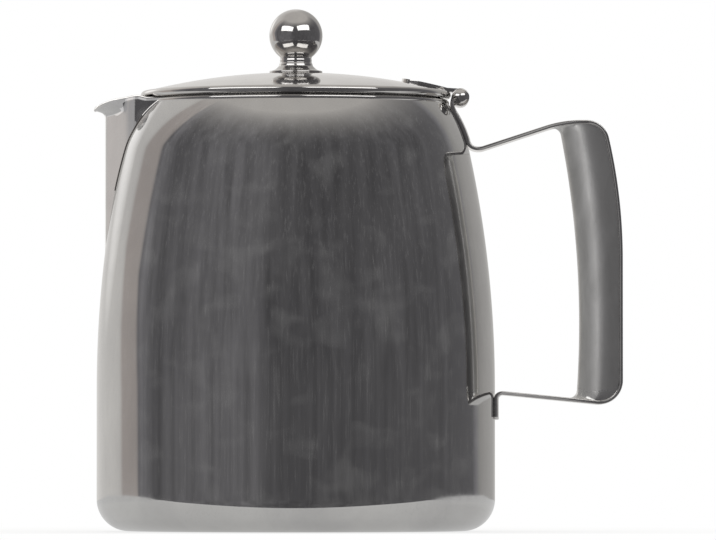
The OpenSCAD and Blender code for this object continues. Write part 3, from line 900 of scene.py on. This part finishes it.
class JUG_OT_spout(bpy.types.Operator):
    """Sheet folded to an upright edge that bends out into a pouring beak."""

    bl_idname = "jug.spout"
    bl_label = "Spout"

    COLUMNS, WALL_ROWS, BEAK_ROWS = 144, 44, 30
    # Step of the search for the spout's foot, where the fold leaves the middle of the wall.
    FOOT_STEP, FOOT_OUT = 0.05, 0.02
    # Above 1 it draws the columns together at the fold.
    CROWDING = 1.15
    # Depth below the beak's bend from which the rows follow the lip.
    KNEE = 1.5
    FLARE_DEPTH, FLARE_WAY = 1.6, (0.75, 0.66)

    def execute(self, context):
        s = context.scene.jug_body
        bell = BellLine(s)
        line = SpoutLine(s, bell)
        sink = s.wall / 2
        foot = s.straight
        while bell.radius(foot) - sink > s.keel - self.FOOT_OUT:
            foot += self.FOOT_STEP
        shares = [math.copysign(abs(c) ** self.CROWDING, c) for c in spaced(-1, 1, self.COLUMNS)]
        tops = [line.top(abs(c), sink) for c in shares]
        knee = s.beak_z - self.KNEE
        levels = [[z] * len(shares) for z in spaced(foot, knee, self.WALL_ROWS)]
        levels += [[mixed(knee, top, v) for top in tops] for v in spaced(0, 1, self.BEAK_ROWS)[1:]]

        def place(z, c, top):
            """Point of the sheet at a height and a share of the way from the fold to the bell."""
            p, push = line.spot(z, abs(c), sink)
            roll = s.lip_roll * (1 - push) * eased(z, top - self.FLARE_DEPTH, top) ** 2
            out, aside = (part * roll for part in self.FLARE_WAY)
            return (-p.x - out, math.copysign(p.y + aside, c), z)

        points = [[place(*spot) for spot in zip(level, shares, tops)] for level in levels]
        how = dict(offset=-1, edge=0.18, inside="plain")
        obj = pressed("folded_spout", points, "mirror", (0, 0, s.beak_z), s.wall, **how)
        hand_over(obj, "jug", "polished_steel", "spout")

        def seams(low, high, steps):
            """The seam between two heights on both sides of the spout."""
            seam = [(*line.seam(z, 0.0)[0][-1], z) for z in spaced(low, high, steps)]
            return [[(-x, way * y, z) for x, y, z in seam] for way in (-1, 1)]

        middle = []
        for before, p, after in neighbours([Vector(p) for p in points[-1]]):
            along = after - before
            inward = Vector((along.y, -along.x, 0)).normalized()
            # It sinks into the edge under the lid, which rests close above.
            sunk = s.lip_bead * eased(p.x, -s.crease_x, -line.root.x)
            middle.append(p + inward * s.wall / 2 - Vector((0, 0, sunk)))
        turn_down = s.mouth_z - s.lip_turn
        beads = (
            ("spout_weld", seams(foot + s.weld_from, turn_down, 60), s.weld, "weld"),
            ("spout_lip", [middle, *seams(turn_down, bell.bead_z, 12)], s.lip_bead, "bright"),
        )
        for name, lines, radius, key in beads:
            bead = run_along(name, lines, radius, key)
            hand_over(bead, "jug", "polished_steel", "spout")
        return {"FINISHED"}


class JUG_OT_strap(bpy.types.Operator):
    """One strip: rolled hinge knuckles, shoulder tab, upper arm, spine, lower arm and lower tab."""

    bl_idname = "jug.strap"
    bl_label = "Handle strap"

    # Turns, in degrees, between which the knuckles are rolled.
    CURL = (-140, 180)
    # Bow of the strip between knuckle and tab, and how near the body it takes on its curve.
    BOW, HUG = Vector((-0.5, 0)), (1.2, 5.0)
    # Shares of the half width at which it has points, and how far its last corners are cut back.
    ACROSS = (0.0, 0.275, 0.5625, 0.75, 0.9125, 1.0)
    CORNER = {0.9125: 0.15, 1.0: 0.7}
    # Spacing of the points along the arms, and from a tab to its bend.
    SPACING, NEAR = 2.5, 0.3

    def execute(self, context):
        s = context.scene.jug_handle
        bell = BellLine(context.scene.jug_body)
        t = s.sheet / 2
        bends = strap_line(s, bell)
        pin = Vector((PIN.x, PIN.z))
        middle = (s.knuckle + s.pin_r) / 2
        curl = arc(pin, middle, *(math.radians(turn) for turn in self.CURL), 44)
        tab_z = spaced(s.tab_top, bends[0][0].y + self.NEAR, 10)
        tab = [Vector((bell.radius(z) + t, z)) for z in tab_z]
        neck = [
            mixed(curl[-1], tab[0], share) + self.BOW * math.sin(math.pi * share)
            for share in spaced(0, 1, 8)[1:-1]
        ]
        arms = dense([p for bend in bends for p in bend], self.SPACING)
        lower_z = spaced(bends[-1][-1].y - self.NEAR, s.tab_end, 5)
        lower = [Vector((bell.s.radius + t, z)) for z in lower_z]
        path = curl + neck + tab + arms + lower
        slit = len(curl) + len(neck)
        shares = [-share for share in self.ACROSS[:0:-1]] + list(self.ACROSS)
        rows = []
        for i, p in enumerate(path):
            hug = 1 - eased(p.x - bell.radius(min(p.y, bell.bead_z)), *self.HUG)
            if i < slit:
                hug *= max(0, i - len(curl) + 1) / (len(neck) + 1)
            row = []
            for share in shares:
                y = share * s.half_w
                reach = math.sqrt(p.x**2 - y**2) - p.x
                cut = self.CORNER.get(abs(share), 0.0) if i == len(path) - 1 else 0.0
                between = i < slit and abs(y) < s.knuckle_from - 0.01
                row.append(None if between else (p.x + hug * reach, y, p.y + cut))
            rows.append(row)
        obj = pressed("bent_strap", rows, "bright", (0, 0, s.lean_z), s.sheet, edge=0.45)
        hand_over(obj, "jug", "polished_steel", "handle_strap")
        return {"FINISHED"}


class JUG_OT_grip(bpy.types.Operator):
    """Hollow pressed grip with its rounded face towards the body, flared where it meets the arms."""

    bl_idname = "jug.grip"
    bl_label = "Grip"

    ROWS, NOSE_STEPS, SIDE_STEPS = 72, 14, 12
    # Length of the spine at each end that counts as part of the arm.
    BEND = 6.0
    # Distance from the axis beyond which nothing but the handle is found.
    CLEAR = 75.0
    FLARE_ASIDE = 0.3

    def execute(self, context):
        s = context.scene.jug_handle
        bends = strap_line(s, BellLine(context.scene.jug_body))
        line = dense([p for bend in bends for p in bend], 1.0)
        inner = []
        for before, p, after in neighbours(line):
            along = (after - before).normalized()
            inner.append(p + Vector((along.y, -along.x)) * s.sheet / 2)
        outer = [i for i, p in enumerate(inner) if p.x > self.CLEAR]
        top = max(outer, key=lambda i: inner[i].y)
        low = min(outer, key=lambda i: inner[i].y)
        # Height just before the middle of the bend at the heel.
        heel = bends[-2][8].y
        far_top = next(i for i in range(top, len(inner)) if inner[i].y < s.top_z - self.BEND)
        far_low = next(i for i in range(low, 0, -1) if inner[i].y > heel + self.BEND)
        arm, under = inner[:far_top], inner[:far_low - 1:-1]
        back = inner[far_low:far_top - 1:-1]
        front = s.spine_x - s.sheet / 2 - s.grip_depth

        def nose(z):
            """Distance of the rounded face from the axis at a height."""
            return front - s.grip_sweep + math.sqrt(s.grip_sweep**2 - (z - s.grip_waist) ** 2)

        def swell(room):
            """Flare of the shell at a distance from an arm."""
            r = s.grip_flare
            left = r - max(0.0, min(room, r))
            return r - math.sqrt(r * r - left * left)

        def ends(x):
            """Heights of the lower and the upper arm at a distance from the axis."""
            return [height_on(edge, min(x, edge[-1].x)) for edge in (under, arm)]

        def half_width(share):
            """Half width of the shell at a share of its depth: rounded in front, fuller behind."""
            n = s.grip_round
            return s.grip_half_w * (1 - (1 - min(share, 1.0)) ** n) ** (1 / n)

        rows = []
        for c in spaced(0, math.pi, self.ROWS):
            v = 0.5 - 0.5 * math.cos(c)
            at = v * (len(back) - 1)
            stop = mixed(back[int(at)], back[math.ceil(at)], at - int(at))
            turned_in = s.grip_half_w / (stop.x - nose(stop.y))
            half = []
            for turn in spaced(0, math.pi / 2, self.NOSE_STEPS):
                z = mixed(s.tab_end, s.top_z, v)
                for _ in range(12):
                    x = nose(z) + s.grip_half_w * (1 - math.cos(turn))
                    low, high = ends(x)
                    z = mixed(low, high, v)
                flare = (swell(z - low) + swell(high - z)) * math.cos(turn)
                x -= flare * math.cos(turn)
                y = half_width(turned_in * (1 - math.cos(turn)))
                y += self.FLARE_ASIDE * flare * math.sin(turn)
                half.append((x, y, mixed(*ends(x), v)))
            start = Vector(half[-1])
            for share in spaced(0, 1, self.SIDE_STEPS)[1:]:
                x = mixed(start.x, stop.x, share)
                z = mixed(*ends(x), v)
                if 0 < v < 1:
                    z = mixed(z, mixed(start.z, stop.y, share), share**8)
                half.append((x, half_width(mixed(turned_in, 1.0, share)), z))
            rows.append([(x, -y, z) for x, y, z in half[:0:-1]] + half)
        middle = (s.spine_x, 0, s.grip_waist)
        how = dict(offset=-1, even=False)
        obj = pressed("hollow_grip", rows, "satin", middle, s.grip_sheet, **how)
        hand_over(obj, "jug", "satin_steel", "grip_shell")
        return {"FINISHED"}


class JUG_OT_hinge(bpy.types.Operator):
    """Hinge pin with a domed head at each end."""

    bl_idname = "jug.hinge"
    bl_label = "Hinge pin"

    def execute(self, context):
        s = context.scene.jug_handle
        undercut = 0.15
        ball = (s.head_r**2 + s.head_h**2) / (2 * s.head_h)
        reach = math.asin(s.head_r / ball)
        half = arc((0, s.half_w + s.head_h - ball), ball, math.pi / 2, math.pi / 2 - reach, 14)
        half += [(s.head_r - undercut, s.half_w), (s.pin_r, s.half_w), (s.pin_r, s.half_w / 2)]
        profile = [(abs(r), z) for r, z in half] + [(abs(r), -z) for r, z in reversed(half)]
        obj = solid("riveted_pin", profile, 48, "bright", sharp=45)
        obj.data.transform(Matrix.Translation(PIN * MM) @ Matrix.Rotation(math.pi / 2, 4, "X"))
        hand_over(obj, "jug", "polished_steel", "hinge_pin")
        return {"FINISHED"}


class JUG_OT_lid(bpy.types.Operator):
    """Shallow dome that turns down into a rolled edge, and the collar under it."""

    bl_idname = "jug.lid"
    bl_label = "Lid and collar"

    HOLE = 2.2
    # Start of the search for the dome's end, as a share of the rolled edge, and its step.
    START, STEP = 0.6, 0.01
    # Gap between the dome's underside and the collar.
    GAP = 0.02

    def execute(self, context):
        s, b = context.scene.jug_lid, context.scene.jug_body
        roll = Vector((s.radius - s.roll, b.mouth_z + s.seat + s.roll))

        def dome(r, off=0.0):
            """Point at a radius on the dome, or on a shell that is off it by a distance."""
            return Vector((r, s.top - s.dome + math.sqrt((s.dome + off) ** 2 - r * r)))

        def meet(r, off=0.0):
            """First radius from r outwards where that shell meets the rolled edge."""
            while (dome(r, off) - roll).length > s.roll:
                r += self.STEP
            return r

        over, under = meet(roll.x - self.START * s.roll), meet(roll.x - s.roll, -s.sheet)
        start, end = dome(over) - roll, dome(under, -s.sheet) - roll
        start, end = math.atan2(start.y, start.x), math.atan2(end.y, end.x)
        if end > start:
            end -= 2 * math.pi
        profile = [dome(r) for r in spaced(self.HOLE, over, 60)]
        profile += arc(roll, s.roll, start, end, 30)[1:]
        profile += [dome(r, -s.sheet) for r in spaced(under, self.HOLE, 40)[1:]]
        lid = solid("domed_lid", [*profile, profile[0]], ROUND, "bright", sharp=40)
        hand_over(lid, "lid_assembly", "polished_steel", "lid")

        out, inner, soft = s.collar_r, s.collar_r - s.sheet, s.sheet / 2
        foot = b.mouth_z - s.collar_drop + soft
        profile = [dome(inner, -s.sheet - self.GAP), Vector((inner, foot))]
        profile += arc((out - soft, foot), soft, -math.pi, 0, 12)[1:]
        profile += [Vector((out, mixed(foot, roll.y, 0.5))), dome(out, -s.sheet - self.GAP)]
        collar = solid("seat_collar", [*profile, profile[0]], 192, "plain", sharp=40)
        hand_over(collar, "lid_assembly", "satin_steel", "lid_collar")
        return {"FINISHED"}


class JUG_OT_tongue(bpy.types.Operator):
    """Strip with a rounded tip that lies on the dome and rolls round the pin."""

    bl_idname = "jug.tongue"
    bl_label = "Lid tongue"

    COLUMNS, BRIDGE = 16, 6
    # Turn of the rolled end in degrees, and the share of the dome's slope at which it starts.
    CURL, SLOPE = 292, 0.6
    # Gap between the strip and the dome.
    GAP = 0.01

    def execute(self, context):
        s, h = context.scene.jug_lid, context.scene.jug_handle
        t = s.tongue_t / 2
        half, small = s.tongue_w / 2, s.knuckle_w / 2
        tip, edge = PIN.x - s.tongue_l, s.radius - s.roll
        full, narrow = tip + half, edge - half * 2 / 3
        across = [math.sin(c * math.pi / 2) for c in spaced(-1, 1, self.COLUMNS)]
        flat = [tip + half * (1 - math.cos(turn)) for turn in spaced(0, math.pi / 2, 12)]
        flat += spaced(full, narrow, 8)[1:] + spaced(narrow, edge, 6)[1:]
        rows = []
        for x in flat:
            wide = math.sqrt(max(0.0, half**2 - max(0.0, full - x) ** 2))
            wide = mixed(wide, small, eased(x, narrow, edge))
            room = (s.dome + t + self.GAP) ** 2 - x * x
            rows.append([
                (x, wide * c, s.top - s.dome + math.sqrt(room - (wide * c) ** 2)) for c in across
            ])
        last = [z for _, _, z in rows[-1]]
        end = Vector((edge, last[self.COLUMNS // 2]))
        leave = math.pi / 2 - math.asin(edge / s.dome) * self.SLOPE
        curl = arc((PIN.x, PIN.z), h.knuckle - t, leave, leave - math.radians(self.CURL), 40)
        bridge = [mixed(end, curl[0], share) for share in spaced(0, 1, self.BRIDGE)[1:-1]]
        for i, p in enumerate(bridge + curl, 1):
            keep = max(0.0, 1 - i / self.BRIDGE)
            rows.append([(p.x, small * c, p.y + keep * (z - end.y)) for c, z in zip(across, last)])
        obj = pressed("rolled_tongue", rows, "bright", (0, 0, 0), s.tongue_t, edge=0.22)
        hand_over(obj, "lid_assembly", "polished_steel", "lid_tongue")
        return {"FINISHED"}


class JUG_OT_knob(bpy.types.Operator):
    """Turned knob, a ball on a ringed neck and skirt, with its screw and washer under the lid."""

    bl_idname = "jug.knob"
    bl_label = "Knob and screw"

    # Height of the skirt, the size of its soft edges, and its gap to the dome.
    SKIRT, SOFT, SOFT_TOP, GAP = 0.6, 0.2, 0.12, 0.01
    # Plain stretches below and above the turned rings.
    BELOW, ABOVE = 1.0, 0.1

    def execute(self, context):
        s = context.scene.jug_lid
        cove, top, ball_z = s.skirt - s.neck, s.top + self.SKIRT, s.top + s.ball_h
        foot = s.top - s.dome + math.sqrt(s.dome**2 - s.skirt**2)
        cove_c = Vector((s.skirt, top + cove))
        join = math.asin(s.neck / s.ball)
        neck_top = ball_z - s.ball * math.cos(join)
        profile = [Vector((0, s.top + self.GAP)), Vector((s.skirt - self.SOFT, foot + 2 * self.GAP))]
        profile += [Vector((s.skirt, foot + self.SOFT)), Vector((s.skirt, top - self.SOFT_TOP))]
        profile += arc(cove_c, cove, -math.pi / 2, -math.pi, 40)[1:]
        profile += [Vector((s.neck, z)) for z in spaced(cove_c.y, neck_top, 30)[1:-1]]
        rings_from, rings_to = top + self.BELOW, neck_top - self.ABOVE
        for p in profile:
            if rings_from < p.y < rings_to:
                wave = math.cos(2 * math.pi * (p.y - rings_from) / s.ring_pitch)
                p.x -= s.ring_depth * (0.5 - 0.5 * wave)
        profile += arc((0, ball_z), s.ball, join - math.pi / 2, math.pi / 2, 60)
        profile[-1].x = 0
        obj = solid("turned_knob", profile, 96, "bright", sharp=50)
        hand_over(obj, "lid_assembly", "polished_steel", "knob")
        for name in ("knob_washer", "knob_screw"):
            node = frame["nodes"][name]
            node.data.materials.clear()
            node.data.materials.append(finish("plain"))
        return {"FINISHED"}


# Stage

# Half of the board's outline, in metres: it ends close in front of the jug and rounds back.
FLOOR_EDGE = (
    (0.25, FLOOR_FRONT), (0.33, -0.068), (0.40, -0.05), (0.46, -0.025), (0.50, 0.0),
    (0.55, 0.045), (0.60, 0.10), (0.66, 0.18), (0.70, 0.25), (0.70, 0.70),
)

# Brightness of the room at turns, in degrees, from the camera's side to the right.
ROOM = (
    (-180, 0.76), (-130, 0.70), (-127, 0.66), (-124, 0.45), (-109, 0.43), (-107, 0.20),
    (-104, 0.24), (-100, 0.20), (-96, 0.135), (-90, 0.13), (-70, 0.16), (-30, 0.16),
    (-10, 0.10), (30, 0.10), (100, 0.125), (124, 0.15), (129, 0.26), (134, 0.36),
    (142, 0.42), (160, 0.45), (172, 0.52), (180, 0.76),
)
PALE, COOL, WARM = (1.02, 1.0, 0.975), (1.0, 0.985, 1.04), (1.08, 0.99, 0.95)

KNOB = (0, 0, 0.1555)
FITTINGS = (
    "bent_strap", "hollow_grip", "riveted_pin", "domed_lid", "rolled_tongue", "turned_knob",
    "mouth_bead", "folded_spout", "spout_lip",
)
SPOUT, LIP, STRAP, GRIP = ("folded_spout",), ("spout_lip",), ("bent_strap",), ("hollow_grip",)

# Name, place, aim, size in metres, brightness of its face, and the pieces that it lights.
LAMPS = (
    ("overhead lamp", (0.0, 0.1, 1.1), (0, 0, 0.05), (0.9, 0.9), 2.7, ()),
    ("left softbox", (-0.468, -0.529, 0.531), KNOB, (0.76, 0.28), 1.9, FITTINGS),
    ("right softbox", (0.406, -0.539, 0.585), KNOB, (0.76, 0.30), 1.9, FITTINGS),
    ("spout card", (-0.54, 0.12, 0.03), (-0.05, 0, 0.10), (0.345, 0.62), 0.32, SPOUT),
    ("beak card", (-0.55, -0.12, -0.093), (-0.06, 0, 0.128), (0.80, 0.40), 0.5, SPOUT),
    ("lip card", (-0.62, -0.06, 0.50), (-0.05, 0, 0.135), (1.0, 0.9), 1.5, LIP),
    ("fold card", (-0.31, 0.43, 0.08), (-0.06, 0, 0.10), (0.16, 0.62), 0.5, SPOUT),
    ("grip highlight", (-0.30, -0.635, -0.07), (0.1, 0, 0.06), (0.06, 0.2), 3.8, GRIP),
    ("strap card", (0.078, -0.35, 0.09), (0.078, 0, 0.09), (0.034, 0.25), 0.3, STRAP),
    ("grip front card", (0.13, -0.7, 0.10), (0.1, 0, 0.085), (0.5, 0.5), 0.05, GRIP),
    ("grip fill", (0.072, -0.01, 0.085), (0.1, 0, 0.085), (0.05, 0.1), 0.3, GRIP),
)


def aimed(name, data, spot, aim):
    """A new lamp or camera at a spot, turned to face a point."""
    obj = put(name, data)
    obj.location = spot
    obj.rotation_mode = "QUATERNION"
    obj.rotation_quaternion = (Vector(aim) - Vector(spot)).to_track_quat("-Z", "Y")
    return obj


def lay_floor():
    """The pale board that the jug stands on."""
    edge = [(-x, y) for x, y in reversed(FLOOR_EDGE)] + list(FLOOR_EDGE)
    mesh = bpy.data.meshes.new("floor")
    mesh.from_pydata([(x, y, FLOOR_Z) for x, y in edge], [], [range(len(edge))])
    mesh.materials.append(pale_floor())
    put("floor", mesh)


def room_walls(tree, around, height):
    """Upright bands of light and dark round the jug."""
    pale_from, warm_band = 0.3, (-125, -108)
    # The dim front narrows a little towards the ceiling and the floor at the left.
    waist = 0.14
    high = add(tree, "ShaderNodeMapRange", (height, waist, waist + 1.0, 0.0, 0.3))
    low = add(tree, "ShaderNodeMapRange", (height, waist, waist - 0.2, 0.0, 0.06))
    off = add(tree, "ShaderNodeMath", (high, low), operation="ADD")
    left = add(tree, "ShaderNodeMapRange", (around, -math.pi, 0.0, -math.pi, 0.0))
    lean = add(tree, "ShaderNodeMath", (off, left, around), operation="MULTIPLY_ADD")
    share = add(tree, "ShaderNodeMapRange", (lean, -math.pi, math.pi, 0.0, 1.0))
    walls = add(tree, "ShaderNodeValToRGB", {"Fac": share})
    ramp = walls.color_ramp.elements
    made = [ramp.new((turn + 180) / 360) for turn, _ in ROOM[1:-1]]
    for element, (turn, level) in zip((ramp[0], *made, ramp[-1]), ROOM):
        tint = PALE if level > pale_from else COOL
        if warm_band[0] < turn < warm_band[1]:
            tint = WARM
        element.color = (*(level * part for part in tint), 1)
    return walls


def light_room(scene):
    """White backdrop behind, dim room in front and at the right, and a pale ceiling."""
    ceiling, ceiling_turns, ceiling_power = (0.575, 0.555, 0.535, 1), (24, 58), 2.2
    glow_way, glow_turn, glow_level = (-0.524, 0.806, 0.276), 14, 0.6
    front_turns, shade = (96, 108), (0.5, 0.5, 0.5, 1)
    world = bpy.data.worlds.new("studio")
    scene.world = world
    world.use_nodes = True
    tree = world.node_tree
    tree.nodes.clear()
    gaze = add(tree, "ShaderNodeTexCoord").outputs["Generated"]
    way = add(tree, "ShaderNodeSeparateXYZ", (gaze,)).outputs
    ahead = add(tree, "ShaderNodeMath", (way["Y"], -1.0), operation="MULTIPLY")
    around = add(tree, "ShaderNodeMath", (way["X"], ahead), operation="ARCTAN2")
    up = add(tree, "ShaderNodeMath", (way["Z"],), operation="ARCSINE")
    walls = room_walls(tree, around, way["Z"])

    # Soft folds break up the dim front.
    folds = add(tree, "ShaderNodeCombineXYZ", (around, up, 3.0))
    folds = add(tree, "ShaderNodeMapping", {"Vector": folds, "Scale": (9, 4, 1)})
    noise = {"Vector": folds, "Scale": 1.0, "Detail": 4.0, "Roughness": 0.6}
    folds = add(tree, "ShaderNodeTexNoise", noise)
    folds = add(tree, "ShaderNodeMapRange", (folds, 0.3, 0.72, 0.75, 1.35))
    side = add(tree, "ShaderNodeMath", (around,), operation="ABSOLUTE")
    turns = [math.radians(turn) for turn in front_turns]
    front = add(tree, "ShaderNodeMapRange", (side, *turns, 1.0, 0.0))
    layers = {"Factor": front, "A": walls, "B": folds}
    room = add(tree, "ShaderNodeMix", layers, data_type="RGBA", blend_type="MULTIPLY")

    turns = [math.radians(turn) for turn in ceiling_turns]
    over = add(tree, "ShaderNodeMapRange", (up, *turns, 0.0, 1.0))
    over = add(tree, "ShaderNodeMath", (over, ceiling_power), operation="POWER")
    layers = {"Factor": over, "A": room, "B": ceiling}
    room = add(tree, "ShaderNodeMix", layers, data_type="RGBA")

    near = add(tree, "ShaderNodeVectorMath", (gaze, glow_way), operation="DOT_PRODUCT")
    rim = math.cos(math.radians(glow_turn))
    glow = add(tree, "ShaderNodeMapRange", (near, rim, 1.0, 0.0, glow_level))
    layers = {"Factor": 1.0, "A": room, "B": glow}
    room = add(tree, "ShaderNodeMix", layers, data_type="RGBA", blend_type="ADD")

    # The steel mirrors the room, matt surfaces get an even light, and the camera sees white.
    path = add(tree, "ShaderNodeLightPath").outputs
    layers = {"Factor": path["Is Glossy Ray"], "A": shade, "B": room}
    plain = add(tree, "ShaderNodeMix", layers, data_type="RGBA")
    direct = (path["Is Camera Ray"], path["Is Transmission Ray"])
    direct = add(tree, "ShaderNodeMath", direct, operation="MAXIMUM")
    layers = {"Factor": direct, "A": plain, "B": (1, 1, 1, 1)}
    seen = add(tree, "ShaderNodeMix", layers, data_type="RGBA")
    light = add(tree, "ShaderNodeBackground", {"Color": seen, "Strength": 1.0})
    add(tree, "ShaderNodeOutputWorld", {"Surface": light})


def hang_lamps():
    """Lamps and cards, most of which light only the pieces that they are meant for."""
    for name, spot, aim, size, level, lit in LAMPS:
        data = bpy.data.lights.new(name, "AREA")
        data.shape = "RECTANGLE"
        data.size, data.size_y = size
        data.energy = level * math.pi * size[0] * size[1]
        lamp = aimed(name, data, spot, aim)
        lamp.visible_camera = False
        if lit:
            chosen = bpy.data.collections.new(name)
            for piece in lit:
                chosen.objects.link(bpy.data.objects[piece])
            lamp.light_linking.receiver_collection = chosen
        else:
            lamp.visible_glossy = False


def set_camera(scene):
    """Camera far in front of the jug, a little above the floor."""
    s = scene.jug_stage
    data = bpy.data.cameras.new("camera")
    aim = Vector(s.aim)
    camera = aimed("camera", data, (aim.x, -s.distance, s.height), aim)
    data.sensor_width = 36
    data.lens = data.sensor_width * (aim - camera.location).length / s.width
    data.clip_start, data.clip_end = 0.05, 50
    scene.camera = camera


class JUG_OT_stage(bpy.types.Operator):
    """Pale floor, soft studio light and the camera."""

    bl_idname = "jug.stage"
    bl_label = "Stage"

    def execute(self, context):
        context.scene.view_settings.view_transform = "Standard"
        lay_floor()
        light_room(context.scene)
        hang_lamps()
        set_camera(context.scene)
        return {"FINISHED"}


OPERATORS = (
    JUG_OT_body,
    JUG_OT_spout,
    JUG_OT_strap,
    JUG_OT_grip,
    JUG_OT_hinge,
    JUG_OT_lid,
    JUG_OT_tongue,
    JUG_OT_knob,
    JUG_OT_stage,
)


class JUG_PT_panel(bpy.types.Panel):
    """Lists the jug's pieces and its stage."""

    bl_idname = "JUG_PT_panel"
    bl_label = "Hot Water Jug"
    bl_space_type = "VIEW_3D"
    bl_region_type = "UI"
    bl_category = "Jug"

    def draw(self, context):
        for operator in OPERATORS:
            self.layout.operator(operator.bl_idname)


CLASSES = (*SIZE_GROUPS.values(), *OPERATORS, JUG_PT_panel)


def register():
    for cls in CLASSES:
        bpy.utils.register_class(cls)
    for name, group in SIZE_GROUPS.items():
        setattr(bpy.types.Scene, name, bpy.props.PointerProperty(type=group))


def unregister():
    for name in SIZE_GROUPS:
        delattr(bpy.types.Scene, name)
    for cls in reversed(CLASSES):
        bpy.utils.unregister_class(cls)


def main():
    register()
    for operator in OPERATORS:
        module, name = operator.bl_idname.split(".")
        getattr(getattr(bpy.ops, module), name)()


if __name__ == "__main__":
    main()
